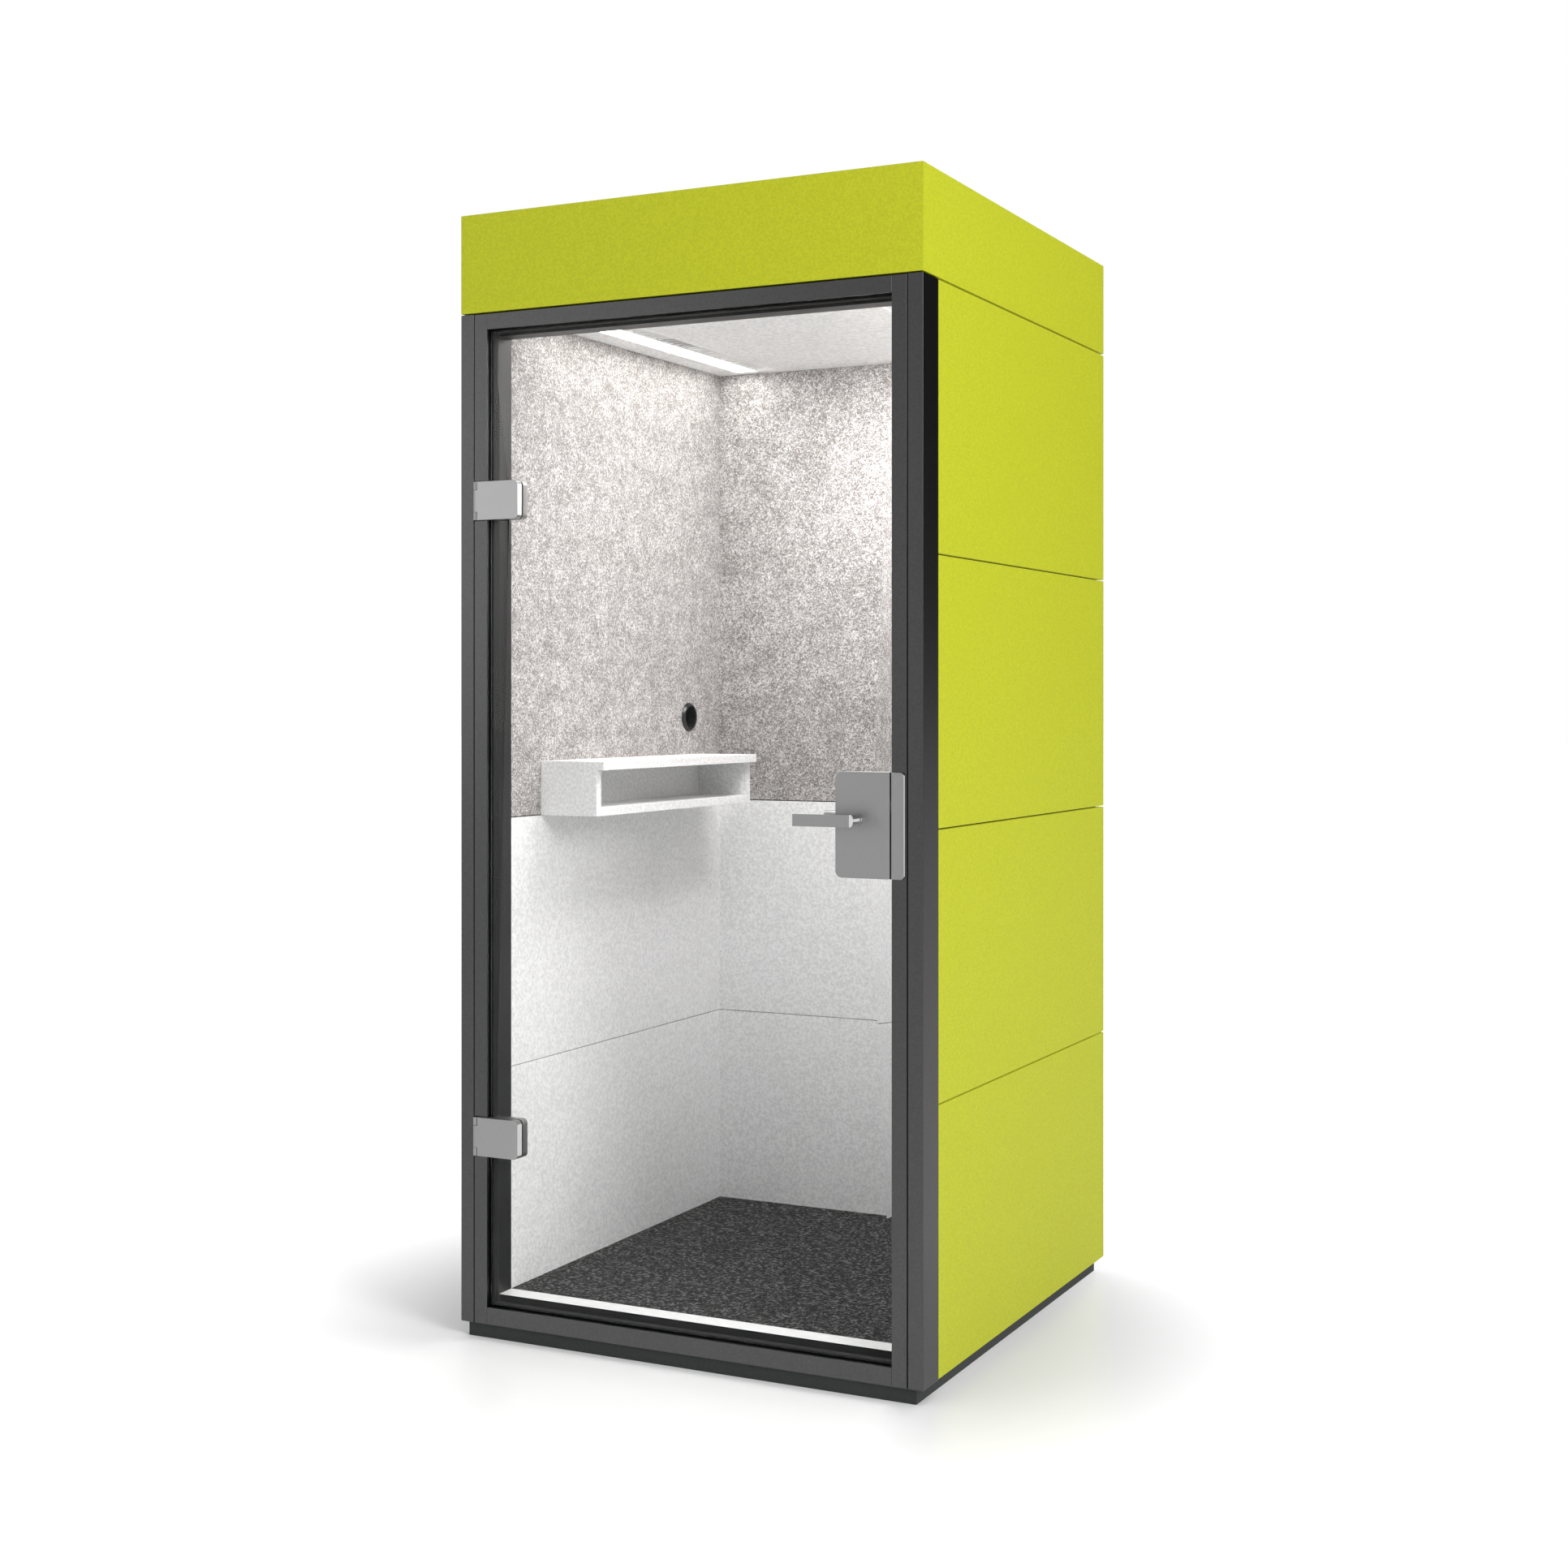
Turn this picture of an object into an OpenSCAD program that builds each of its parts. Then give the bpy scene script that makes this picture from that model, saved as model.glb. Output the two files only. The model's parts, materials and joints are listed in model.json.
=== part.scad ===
// Free-standing acoustic phone booth: a cabin with a glass door, shelf, light and ventilation.
// Origin at the centre of the footprint on the floor, +X to the right, the door faces -Y, +Z up.

/* [Cabin] */
// Width over the side panels
booth_w = 1005; // [960:5:1100]
// Depth over the corner posts and the rear panels
booth_d = 1050; // [1000:5:1200]
// Height to the top of the roof
booth_h = 2250; // [2240:5:2300]
// Height of the recessed plinth
plinth_h = 28; // [20:1:40]
// Height of the roof fascias
fascia_h = 197.5; // [180:0.5:200]

/* [Walls] */
// Depth of an outer cassette panel
panel_t = 12; // [10:1:15]
// Sheet thickness of the folded steel pieces
sheet_t = 1.5; // [1:0.5:2]
// Open joint between outer panels
panel_gap = 3; // [2:0.5:5]
// Acoustic core of the side walls
core_t = 35; // [30:1:45]
// Acoustic core of the rear wall
rear_core_t = 28; // [25:1:35]
// Felt and white lining boards
lining_t = 12; // [9:1:15]
// Height of the joint between the two rows of white lining
white_joint_z = 530.5; // [500:0.5:560]
// Height of the joint between white lining and felt
felt_joint_z = 1037.5; // [1000:0.5:1060]

/* [Door] */
// Face width of the door frame
frame_w = 30; // [25:1:34]
// Depth of the door frame profile
frame_d = 37; // [30:1:40]
// Glass thickness
glass_t = 8; // [8:1:10]
// Clearance round the glass
glass_gap = 3; // [2.5:0.5:4]
// Height of the middle of the lower hinge
hinge_low_z = 403; // [300:1:500]
// Height of the middle of the upper hinge
hinge_high_z = 1675; // [1500:1:1800]
// Height of a hinge
hinge_h = 77; // [60:1:90]
// Thickness of the hinge clamps and lock cases on each side of the glass
clamp_t = 16; // [14:1:18]

/* [Lock] */
// Lowest point of the lock case
lock_z0 = 950.5; // [900:0.5:1000]
// Height of the lock case
lock_h = 194.5; // [180:0.5:200]
// Width of the lock case
lock_w = 109; // [100:1:115]
// Height of the lever spindle
lever_z = 1057.5; // [1040:0.5:1070]
// Length of the lever's bar
lever_l = 112; // [100:1:125]
// Height of the lever's bar
lever_h = 22; // [18:1:24]
// Travel of the latch bolt
bolt_travel = 12.5; // [10:0.5:14]

/* [Shelf] */
// Length of the shelf along the wall
shelf_l = 688; // [600:1:720]
// Depth of the shelf top
shelf_d = 152.5; // [130:0.5:180]
// Outer height of the shelf box
shelf_h = 113; // [90:1:140]
// Board thickness
board_t = 18; // [16:1:22]
// Overhang of the shelf top in front of the box
shelf_nose = 17; // [0:1:25]

/* [Ceiling] */
// Underside of the ceiling panel
ceiling_z = 2058; // [2054:1:2060]
// Width of a light diffuser
light_w = 51.5; // [40:0.5:60]
// Width of a vent grille
vent_w = 51; // [40:1:60]
// Length of the lights and grilles
light_l = 840; // [700:10:880]
// Spacing of the vent blades
vent_pitch = 25.4; // [20:0.2:30]

/* [Hidden] */
$fn = 64;
half_w = booth_w / 2;
front_y = -booth_d / 2;
rear_y = booth_d / 2;
wall_top = 2050;
roof_z = booth_h - fascia_h;

// side walls, from the outside in
hang_gap = 3;
core_out = half_w - panel_t - hang_gap;
core_in = core_out - core_t;
room_x = core_in - lining_t;
rear_core_out = rear_y - panel_t - hang_gap;
rear_core_in = rear_core_out - rear_core_t;
room_rear = rear_core_in - lining_t;

// front post and frame
post_w = 30;
post_d = 73;
post_back = front_y + post_d;
post_wall = 2.5;
frame_out = room_x + frame_w;
frame_back = front_y + frame_d;
sill_top = 62.5;
sill_back = front_y + 47;
head_z = 2017.5;
head_top = 2049;
room_front = front_y + 91;
liner_z = 2010;

// floor
deck_top = 72;
carpet_top = 80;
threshold_top = 79;
foot_x = 400;
foot_y = 420;
foot_r = 25;

// outer panels
panel_z0 = 29.5;
panel_pitch = 505.5;
panel_h = panel_pitch - panel_gap;
panel_front = post_back + 1.5;
panel_rear = rear_y - panel_t - 1;
batten_w = 40;

// door
glass_y = front_y + 10;
glass_back = glass_y + glass_t;
glass_x = room_x - glass_gap;
glass_z0 = 66;
glass_z1 = head_z - 1.5;
seal_w = 6;
seal_d = 17;
seal_y = glass_back + 0.3;

// hinges
plate_y = front_y - 6;
pivot_x = -(frame_out - 4);
pivot_y = front_y - 1;
knuckle_r = 5.5;
pin_r = 3;
mid_knuckle = 44;
clamp_right = -364;
clamp_round = 10;
plate_back = front_y - 0.5;
back_plate_x = -(room_x - 8);
screw_x = -390;
screw_dz = 20;
screw_r = 4;

// lock
lock_x1 = room_x - 1.2;
lock_x0 = lock_x1 - lock_w;
lock_round = 13;
case_wall = 3;
lock_z1 = lock_z0 + lock_h;
back_lock_x1 = room_x - 8.5;
spindle_x = 372;
spindle_w = 8;
neck_r = 9;
rose_r = 12;
lever_front = plate_y - 59;
lever_right = spindle_x + lever_h / 2;
follower_r = 8;
follower_arm = 15;
bolt_z0 = lever_z + 18.5;
bolt_h = 18;
bolt_y0 = plate_y + 5;
bolt_t = 9;
bolt_nose = 1.5;
strike_x0 = room_x + 1.5;
strike_x1 = room_x + 26.5;
strike_t = 6;
lock_screw_z = [lock_z0 + 22, lock_z1 - 22];
lock_screw_x = lock_x0 + 55;

// shelf and grommet
shelf_y0 = -324;
shelf_z0 = 1037;
shelf_z1 = shelf_z0 + shelf_h;
shelf_back_t = 8;
grommet_y = 312.5;
grommet_z = 1237;
grommet_r = 33.5;
sleeve_r = 29;
outlet_back = 6;

// roof
deck_t = 18;
curb_h = 20;
flange = 14;
light_x = 351;
vent_x = light_x - light_w / 2 - vent_w / 2;
light_y = 18;
light_t = 4;
vent_t = 10;
blade_t = 1.2;
fan_x = 298;
fan_size = 120;
fan_h = 38;
fan_bore = 57.5;
fan_z = wall_top + curb_h + deck_t;
impeller_r = 54;
hub_r = 20;
blade_n = 7;
inlet_x = 330;
inlet_z = 2150;
lid_slots = 9;

// ---- helpers ----

// A block between two corners
module block(x, y, z) {
    translate([x[0], y[0], z[0]]) cube([x[1] - x[0], y[1] - y[0], z[1] - z[0]]);
}

// Its mirror image across the middle plane of the booth
module on_side(side) {
    mirror([side < 0 ? 1 : 0, 0, 0]) children();
}

// A flat outline in X and Z, made a plate that reaches forward from y_back
module upright_plate(y_back, t) {
    translate([0, y_back, 0]) rotate([90, 0, 0]) linear_extrude(t) children();
}

// A rectangle with its two corners on one side rounded
module round_side(x, z, r, left) {
    inner = left ? x[0] + r : x[1] - r;
    outer = left ? x[0] : x[1];
    translate([min(inner, left ? x[1] : x[0]), z[0]])
        square([abs((left ? x[1] : x[0]) - inner), z[1] - z[0]]);
    translate([min(inner, outer), z[0] + r]) square([r, z[1] - z[0] - 2 * r]);
    for (c = [z[0] + r, z[1] - r]) translate([inner, c]) circle(r);
}

// A round bar along Y
module bar_y(x, z, y, r) {
    translate([x, y[1], z]) rotate([90, 0, 0]) cylinder(r = r, h = y[1] - y[0]);
}

// ---- base ----

module plinth() {
    half = half_w - 15.5;
    y = [front_y + 6, rear_y - 20.5];
    rib_w = 30;
    color("#404241") difference() {
        union() {
            difference() {
                block([-half, half], y, [0, plinth_h]);
                block([-half + 3, half - 3], [y[0] + 3, y[1] - 3], [3, plinth_h + 1]);
            }
            for (c = [-0.46 : 0.23 : 0.46])
                block([c * booth_w - rib_w / 2, c * booth_w + rib_w / 2], y, [0, plinth_h]);
        }
        for (sx = [-1, 1], sy = [-1, 1])
            translate([sx * foot_x, sy * foot_y, -1]) cylinder(r = foot_r + 2, h = plinth_h + 2);
    }
}

module levelling_feet() {
    color("#2a2a2b") for (sx = [-1, 1], sy = [-1, 1]) translate([sx * foot_x, sy * foot_y, 0]) {
        cylinder(r = foot_r, h = 8);
        translate([0, 0, 8]) cylinder(r = 6, h = plinth_h - 8);
    }
}

module floor_deck() {
    color("#a98d63") {
        block([-core_in, core_in], [room_front, rear_core_in], [plinth_h, deck_top]);
        block([-room_x, room_x], [sill_back, room_front], [plinth_h, sill_top]);
    }
}

module carpet() {
    color("#4a4a4b") block([-room_x, room_x], [room_front, room_rear], [deck_top, carpet_top]);
}

module threshold_strip() {
    color("#ecebe7") block([-room_x, room_x], [sill_back, room_front], [sill_top, threshold_top]);
}

// ---- front ----

module corner_post(side) {
    color("#4b4c4e") on_side(side) difference() {
        block([half_w - post_w, half_w], [front_y, post_back], [plinth_h, wall_top]);
        block([half_w - post_w + post_wall, half_w - post_wall],
              [front_y + post_wall, post_back - post_wall], [plinth_h - 1, wall_top + 1]);
    }
}

// Mortise for one hinge in the left stile
module hinge_mortise(zc) {
    z = [zc - hinge_h / 2 - 1, zc + hinge_h / 2 + 1];
    block([-frame_out - 1, pivot_x + knuckle_r + 1.5], [front_y - 1, pivot_y + knuckle_r + 1], z);
    block([pivot_x, -room_x - 4], [front_y - 1, front_y + 3.5], z);
}

// Pocket behind the strike plate that the latch bolt shoots into
module bolt_pocket() {
    block([room_x - 1, room_x + bolt_travel + 2], [front_y - 3.5, bolt_y0 + bolt_t + 1.5],
          [bolt_z0 - 2, bolt_z0 + bolt_h + 2]);
}

module frame_stile() {
    block([room_x, frame_out], [front_y, frame_back], [plinth_h, head_top]);
    block([core_in, frame_out], [frame_back, post_back], [plinth_h, head_top]);
}

module door_frame_left() {
    color("#5c5c5e") difference() {
        on_side(-1) frame_stile();
        for (zc = [hinge_low_z, hinge_high_z]) hinge_mortise(zc);
    }
}

module door_frame_right() {
    color("#47474a") difference() {
        frame_stile();
        bolt_pocket();
    }
}

module door_frame_head() {
    color("#4c4d50") {
        block([-room_x, room_x], [front_y, frame_back], [head_z, head_top]);
        block([-room_x, room_x], [frame_back, room_front], [liner_z + lining_t, head_top]);
    }
}

module door_frame_sill() {
    color("#58585b") block([-room_x, room_x], [front_y, sill_back], [plinth_h, sill_top]);
}

module jamb_liner() {
    color("#2f2f31") {
        for (side = [-1, 1]) on_side(side)
            block([room_x, core_in], [frame_back, room_front], [plinth_h, liner_z + lining_t]);
        block([-room_x, room_x], [sill_back, room_front], [liner_z, liner_z + lining_t]);
    }
}

module door_seal() {
    y = [seal_y, seal_y + seal_d];
    lip_top = 4;
    lip_low = 5.5;
    color("#101011") difference() {
        block([-room_x, room_x], y, [sill_top, head_z]);
        block([-room_x + seal_w, room_x - seal_w], [y[0] - 1, y[1] + 1],
              [sill_top + lip_low, head_z - lip_top]);
    }
}

// ---- walls ----

module side_core() {
    block([core_in, core_out], [post_back, rear_core_in], [plinth_h, wall_top]);
    for (c = [-300, 60, 420])
        block([core_out, core_out + hang_gap], [c - batten_w / 2, c + batten_w / 2],
              [panel_z0, wall_top]);
}

module grommet_hole(r) {
    translate([-core_out + outlet_back, grommet_y, grommet_z]) rotate([0, 90, 0])
        cylinder(r = r, h = core_out - outlet_back - room_x + 1);
}

module wall_core_left() {
    color("#2e2f30") difference() {
        on_side(-1) side_core();
        grommet_hole(sleeve_r);
    }
}

module wall_core_right() {
    color("#2e2f30") side_core();
}

module wall_core_rear() {
    color("#2e2f30") {
        block([-core_out, core_out], [rear_core_in, rear_core_out], [plinth_h, wall_top]);
        for (c = [-380, 0, 380])
            block([c - batten_w / 2, c + batten_w / 2], [rear_core_out, rear_core_out + hang_gap],
                  [panel_z0, wall_top]);
    }
}

// Folded steel cassettes, one above the other, open towards the core
module side_cassettes() {
    for (i = [0 : 3]) translate([0, 0, panel_z0 + i * panel_pitch]) difference() {
        block([half_w - panel_t, half_w], [panel_front, panel_rear], [0, panel_h]);
        block([half_w - panel_t - 1, half_w - sheet_t],
              [panel_front + sheet_t, panel_rear - sheet_t], [sheet_t, panel_h - sheet_t]);
    }
}

module outer_panels_left() {
    color("#c2c837") on_side(-1) side_cassettes();
}

module outer_panels_right() {
    color("#c2c837") side_cassettes();
}

module outer_panels_rear() {
    color("#c2c837") for (i = [0 : 3]) translate([0, 0, panel_z0 + i * panel_pitch]) difference() {
        block([-half_w, half_w], [rear_y - panel_t, rear_y], [0, panel_h]);
        block([-half_w + sheet_t, half_w - sheet_t],
              [rear_y - panel_t - 1, rear_y - sheet_t], [sheet_t, panel_h - sheet_t]);
    }
}

felt_z = [felt_joint_z + 1, ceiling_z];
white_rows = [[deck_top, white_joint_z - 0.75], [white_joint_z + 0.75, felt_joint_z - 1]];

module felt_left() {
    color("#cfccc9") difference() {
        block([-core_in, -room_x], [room_front, room_rear], felt_z);
        grommet_hole(sleeve_r);
    }
}

module felt_right() {
    color("#cfccc9") block([room_x, core_in], [room_front, room_rear], felt_z);
}

module felt_rear() {
    color("#cfccc9") block([-core_in, core_in], [room_rear, rear_core_in], felt_z);
}

module white_lining_side(side) {
    color("#e9e8e6") on_side(side) for (z = white_rows)
        block([room_x, core_in], [room_front, room_rear], z);
}

module white_lining_rear() {
    color("#e9e8e6") for (z = white_rows)
        block([-core_in, core_in], [room_rear, rear_core_in], z);
}

// ---- roof and ceiling ----

module roof_curb() {
    color("#2e2f30") difference() {
        block([-core_out, core_out], [front_y + flange + 1, rear_core_out],
              [wall_top, wall_top + curb_h]);
        block([-core_in, core_in], [room_front, rear_core_in],
              [wall_top - 1, wall_top + curb_h + 1]);
    }
}

module ceiling_deck() {
    edge = 2;
    color("#a98d63") difference() {
        block([-half_w + edge, half_w - edge], [front_y + edge, rear_y - edge],
              [wall_top + curb_h, fan_z]);
        for (side = [-1, 1]) translate([side * fan_x, light_y, wall_top])
            cylinder(r = fan_bore, h = curb_h + deck_t + 1);
    }
}

// Cut-out for one lamp and its vent
module lamp_cutout(side, z) {
    on_side(side) block([vent_x - vent_w / 2, light_x + light_w / 2],
                        [light_y - light_l / 2, light_y + light_l / 2], z);
}

module ceiling_panel() {
    color("#d6d6d5") difference() {
        block([-core_in, core_in], [room_front, rear_core_in], [ceiling_z, wall_top + curb_h]);
        for (side = [-1, 1]) lamp_cutout(side, [ceiling_z - 1, wall_top + curb_h + 1]);
    }
}

module light_diffusers() {
    color("#fdfdf8") for (side = [-1, 1]) on_side(side)
        block([light_x - light_w / 2 + 0.5, light_x + light_w / 2 - 0.5],
              [light_y - light_l / 2 + 1, light_y + light_l / 2 - 1],
              [ceiling_z, ceiling_z + light_t]);
}

module light_trays() {
    z = [ceiling_z + light_t, wall_top + curb_h];
    color("#c9cacb") for (side = [-1, 1]) on_side(side) difference() {
        block([light_x - light_w / 2 + 0.5, light_x + light_w / 2 - 0.5],
              [light_y - light_l / 2 + 1, light_y + light_l / 2 - 1], z);
        block([light_x - light_w / 2 + 2.5, light_x + light_w / 2 - 2.5],
              [light_y - light_l / 2 + 3, light_y + light_l / 2 - 3], [z[0] - 1, z[1] - 2]);
    }
}

module vent_grilles() {
    rim = 3;
    x = [vent_x - vent_w / 2 + 0.5, vent_x + vent_w / 2];
    y = [light_y - light_l / 2 + 1, light_y + light_l / 2 - 1];
    blades = floor((light_l - 2 * rim) / vent_pitch);
    color("#f1f1ef") for (side = [-1, 1]) on_side(side) {
        difference() {
            block(x, y, [ceiling_z, ceiling_z + vent_t]);
            block([x[0] + rim, x[1] - rim], [y[0] + rim, y[1] - rim],
                  [ceiling_z - 1, ceiling_z + vent_t + 1]);
        }
        for (i = [0 : blades - 1])
            translate([x[0] + rim - 0.5, light_y + (i - (blades - 1) / 2) * vent_pitch,
                       ceiling_z + vent_t / 2])
                rotate([40, 0, 0]) translate([0, -6, -blade_t / 2])
                    cube([vent_w - 2 * rim + 0.5, 12, blade_t]);
    }
}

// One side of the roof box: a channel with mitred ends, its face towards -Y
module fascia(length, half_depth) {
    zs = [roof_z, booth_h - 2 * sheet_t];
    module slab(depth, z, h) translate([0, -half_depth, z]) linear_extrude(h)
        polygon([[-length / 2, 0], [length / 2, 0],
                 [length / 2 - depth, depth], [-length / 2 + depth, depth]]);
    color("#b6bc39") {
        slab(sheet_t, roof_z, fascia_h);
        for (z = zs) slab(flange, z, sheet_t);
    }
}

module fascia_rear() {
    difference() {
        rotate([0, 0, 180]) fascia(booth_w, rear_y);
        block([inlet_x - 24, inlet_x + 24], [rear_y - 5, rear_y + 1], [inlet_z - 14, inlet_z + 14]);
    }
}

module roof_lid() {
    inset = 2;
    slot_w = 8;
    color("#b6bc39") difference() {
        block([-half_w + inset, half_w - inset], [front_y + inset, rear_y - inset],
              [booth_h - sheet_t, booth_h]);
        for (side = [-1, 1], i = [0 : lid_slots - 1])
            block([side * fan_x - 60, side * fan_x + 60],
                  [light_y + (i - (lid_slots - 1) / 2) * 2 * slot_w - slot_w / 2,
                   light_y + (i - (lid_slots - 1) / 2) * 2 * slot_w + slot_w / 2],
                  [booth_h - sheet_t - 1, booth_h + 1]);
    }
}

// ---- ventilation and power ----

module fan_housings() {
    arm_w = 6;
    boss_h = 8;
    color("#1d1d1f") for (side = [-1, 1]) translate([side * fan_x, light_y, fan_z]) {
        difference() {
            translate([-fan_size / 2, -fan_size / 2, 0]) cube([fan_size, fan_size, fan_h]);
            translate([0, 0, -1]) cylinder(r = fan_bore, h = fan_h + 2);
        }
        for (a = [0 : 90 : 270]) rotate([0, 0, a + 45])
            translate([hub_r - 2, -arm_w / 2, 0]) cube([fan_bore - hub_r + 4, arm_w, 4]);
        cylinder(r = hub_r, h = boss_h);
        cylinder(r = 2, h = 26);
    }
}

module fan_impeller(side) {
    hub_z = 9;
    hub_h = 24;
    color("#2b2b2e") translate([side * fan_x, light_y, fan_z + hub_z]) {
        difference() {
            union() {
                cylinder(r = hub_r, h = hub_h);
                for (i = [0 : blade_n - 1]) rotate([0, 0, i * 360 / blade_n])
                    translate([hub_r - 3, 0, hub_h / 2]) rotate([35, 0, 0])
                        translate([0, -15, -1]) cube([impeller_r - hub_r, 30, 2]);
            }
            translate([0, 0, -1]) cylinder(r = 2.06, h = 19);
        }
    }
}

module led_driver() {
    color("#d9d9d6") block([-90, 90], [240, 290], [fan_z, fan_z + 32]);
}

// Appliance inlet in the rear fascia, with the socket recess that a mains lead plugs into
module power_inlet() {
    color("#19191a") difference() {
        union() {
            block([inlet_x - 23.5, inlet_x + 23.5], [rear_y - 30, rear_y - sheet_t],
                  [inlet_z - 13.5, inlet_z + 13.5]);
            block([inlet_x - 30, inlet_x + 30], [rear_y - 4.5, rear_y - sheet_t],
                  [inlet_z - 20, inlet_z + 20]);
        }
        block([inlet_x - 13, inlet_x + 13], [rear_y - 20, rear_y + 1],
              [inlet_z - 9, inlet_z + 9]);
    }
}

// ---- shelf and cable outlet ----

shelf_y = [shelf_y0, shelf_y0 + shelf_l];
box_x = [-room_x, -room_x + shelf_d - shelf_nose];

module shelf_top() {
    color("#f0efed") block([-room_x, -room_x + shelf_d], shelf_y, [shelf_z1 - board_t, shelf_z1]);
}

module shelf_bottom() {
    color("#f0efed") block(box_x, [shelf_y[0] + board_t, shelf_y[1] - board_t],
                           [shelf_z0, shelf_z0 + board_t]);
}

module shelf_ends() {
    color("#e6e5e3") for (y0 = [shelf_y[0], shelf_y[1] - board_t])
        block(box_x, [y0, y0 + board_t], [shelf_z0, shelf_z1 - board_t]);
}

module shelf_back() {
    color("#dddcda") block([-room_x, -room_x + shelf_back_t],
                           [shelf_y[0] + board_t, shelf_y[1] - board_t],
                           [shelf_z0 + board_t, shelf_z1 - board_t]);
}

module cable_grommet() {
    proud = 7;
    sleeve = 40;
    bore_r = 25;
    color("#161617") translate([-room_x, grommet_y, grommet_z]) rotate([0, 90, 0])
        rotate_extrude() polygon([
            [bore_r, -sleeve], [sleeve_r - 0.2, -sleeve], [sleeve_r - 0.2, 0], [grommet_r, 0],
            [grommet_r, 1.5], [sleeve_r, proud], [bore_r + 1, proud], [bore_r, proud - 1]]);
}

// ---- hinges ----

// One barrel length on the hinge axis
module knuckle(z, bore) {
    translate([pivot_x, pivot_y, z[0]]) difference() {
        cylinder(r = knuckle_r, h = z[1] - z[0]);
        translate([0, 0, -1]) cylinder(r = bore, h = z[1] - z[0] + 2);
    }
}

module hinge_frame_leaves() {
    end_h = (hinge_h - mid_knuckle) / 2 - 0.5;
    leaf_y = [front_y + 0.2, front_y + 3.2];
    color("#8e8f91") for (zc = [hinge_low_z, hinge_high_z]) {
        for (z0 = [zc - hinge_h / 2, zc + hinge_h / 2 - end_h]) difference() {
            union() {
                knuckle([z0, z0 + end_h], pin_r + 0.02);
                block([pivot_x, -room_x - 6], leaf_y, [z0, z0 + end_h]);
            }
            translate([pivot_x, pivot_y, z0 - 1]) cylinder(r = pin_r + 0.02, h = end_h + 2);
        }
        block([pivot_x + knuckle_r + 1, -room_x - 6], leaf_y,
              [zc - hinge_h / 2, zc + hinge_h / 2]);
    }
}

module hinge_pins() {
    color("#b4b5b7") for (zc = [hinge_low_z, hinge_high_z])
        translate([pivot_x, pivot_y, zc - hinge_h / 2]) cylinder(r = pin_r, h = hinge_h);
}

module clamp_holes(zc, y, r) {
    for (s = [-1, 1]) bar_y(screw_x, zc + s * screw_dz, y, r);
}

module hinge_clamps_front() {
    leaf_x = pivot_x + knuckle_r + 1;
    color("#96979a") for (zc = [hinge_low_z, hinge_high_z]) {
        z = [zc - hinge_h / 2, zc + hinge_h / 2];
        mid = [zc - mid_knuckle / 2, zc + mid_knuckle / 2];
        difference() {
            union() {
                upright_plate(plate_back, plate_back - plate_y)
                    round_side([leaf_x, clamp_right], z, clamp_round, false);
                upright_plate(glass_y, glass_y - plate_back)
                    round_side([-room_x + 1.5, clamp_right], z, clamp_round, false);
                block([pivot_x, leaf_x + 1], [plate_y, plate_back], mid);
                knuckle(mid, pin_r + 0.06);
            }
            translate([pivot_x, pivot_y, mid[0] - 1])
                cylinder(r = pin_r + 0.06, h = mid_knuckle + 2);
            clamp_holes(zc, [glass_y - 10, glass_y + 1], screw_r);
        }
    }
}

module hinge_clamps_back() {
    color("#8b8c8f") for (zc = [hinge_low_z, hinge_high_z]) difference() {
        upright_plate(glass_back + clamp_t, clamp_t)
            round_side([back_plate_x, clamp_right], [zc - hinge_h / 2, zc + hinge_h / 2],
                       clamp_round, false);
        clamp_holes(zc, [glass_back - 1, glass_back + clamp_t + 1], screw_r + 0.2);
        clamp_holes(zc, [glass_back + clamp_t - 6, glass_back + clamp_t + 1], screw_r + 3.2);
    }
}

// Socket-head screws that pull the two halves of each hinge clamp onto the glass
module clamp_screws() {
    head_y = glass_back + clamp_t - 6;
    color("#b4b5b7") for (zc = [hinge_low_z, hinge_high_z]) {
        clamp_holes(zc, [glass_y - 9.5, head_y], screw_r - 0.05);
        clamp_holes(zc, [head_y, head_y + 5], screw_r + 3);
    }
}

// ---- door leaf ----

module glass_door() {
    color("#cfe0dc", 0.35) difference() {
        block([-glass_x, glass_x], [glass_y, glass_back], [glass_z0, glass_z1]);
        for (zc = [hinge_low_z, hinge_high_z])
            clamp_holes(zc, [glass_y - 1, glass_back + 1], screw_r + 3);
        bar_y(spindle_x, lever_z, [glass_y - 1, glass_back + 1], 14);
        for (z = lock_screw_z) bar_y(lock_screw_x, z, [glass_y - 1, glass_back + 1], screw_r + 3);
    }
}

// ---- lock ----

module lock_case_front() {
    inner = case_wall;
    color("#97989b") difference() {
        upright_plate(glass_y, clamp_t)
            round_side([lock_x0, lock_x1], [lock_z0, lock_z1], lock_round, true);
        upright_plate(glass_y + 1, clamp_t + 1 - inner)
            round_side([lock_x0 + inner, lock_x1 - inner], [lock_z0 + inner, lock_z1 - inner],
                       lock_round - inner, true);
        bar_y(spindle_x, lever_z, [plate_y - 1, glass_y], neck_r + 0.06);
        block([lock_x1 - inner - 1, lock_x1 + 1],
              [bolt_y0 - 0.3, bolt_y0 + bolt_t + 0.3], [bolt_z0 - 0.3, bolt_z0 + bolt_h + 0.3]);
    }
    color("#97989b") for (z = lock_screw_z) difference() {
        bar_y(lock_screw_x, z, [plate_y + inner, glass_y], screw_r + 4);
        bar_y(lock_screw_x, z, [glass_y - 9, glass_y + 1], screw_r);
    }
}

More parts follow.
